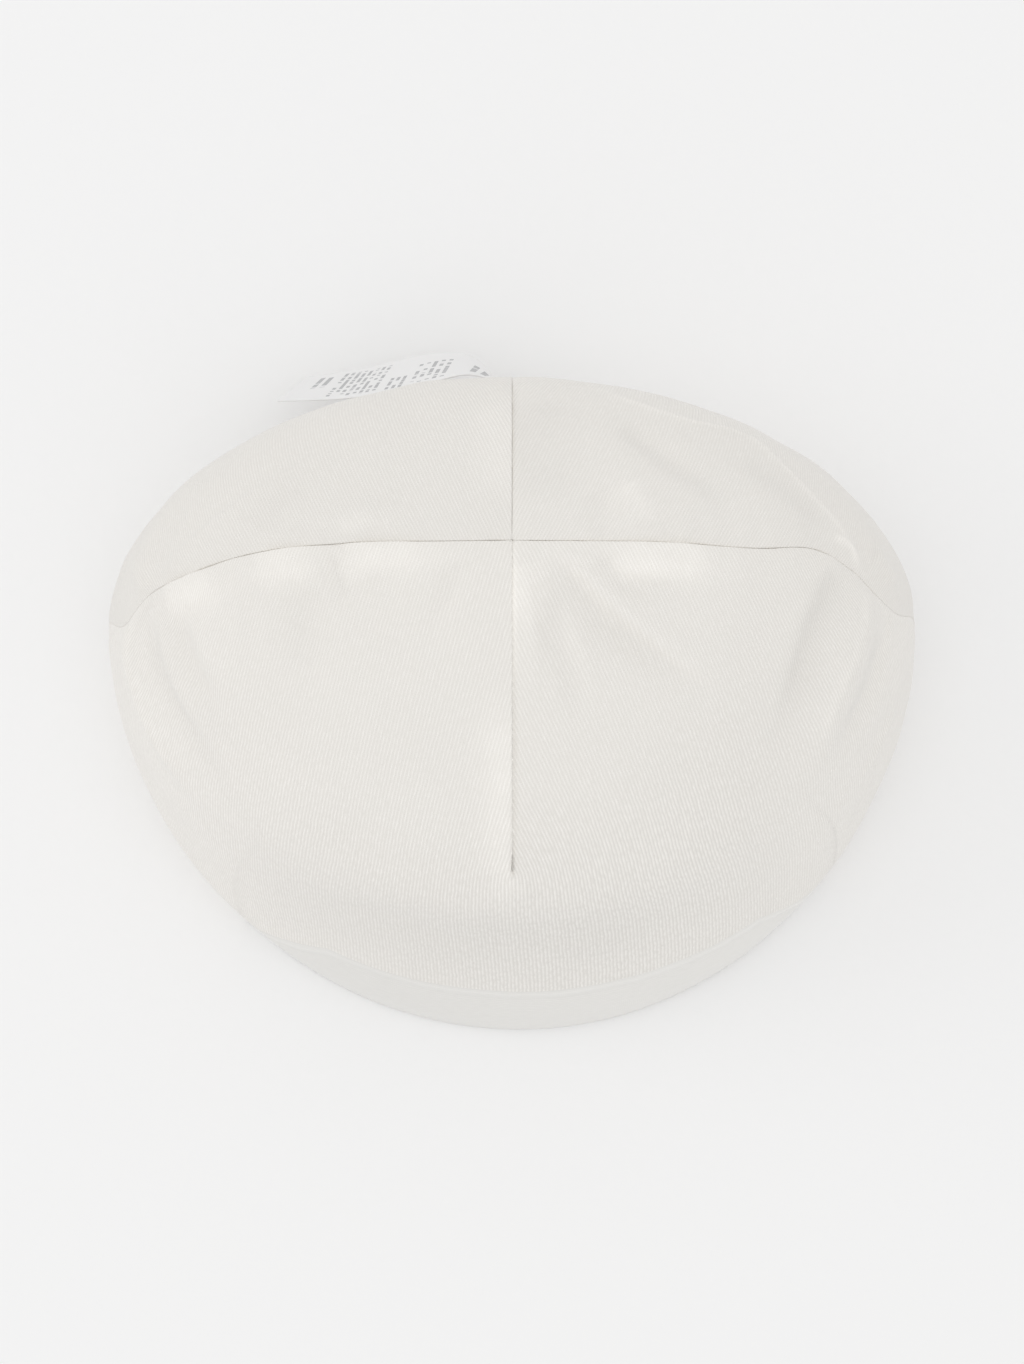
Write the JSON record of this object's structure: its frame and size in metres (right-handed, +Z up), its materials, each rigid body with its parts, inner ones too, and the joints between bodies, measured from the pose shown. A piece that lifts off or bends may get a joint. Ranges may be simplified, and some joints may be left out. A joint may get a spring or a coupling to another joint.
{
  "type": "earflap cap",
  "caption": "Soft child's cap in plain jersey: domed crown of sewn panels with a centre dart, a band across the brow, and earflaps turned up inside.",
  "frame": {"origin": "middle of the footprint, on the surface that the rim stands on", "axes": "+X from the left ear to the right ear as seen from above with the brow nearest, +Y from the brow to the nape, +Z up from the rim to the crown"},
  "size_m": [0.1796, 0.1502, 0.0954],
  "materials": {
    "jersey": "fine single jersey, matt, off-white",
    "hem_jersey": "the same jersey with its courses running along the brow, a little greyer",
    "label_tape": null
  },
  "bodies": {
    "root": {"front_panel": "jersey", "back_panel_right": "jersey", "back_panel_left": "jersey", "brow_band": "hem_jersey", "earflap_right": "jersey", "earflap_left": "jersey", "care_label": "label_tape"}
  },
  "joints": []
}
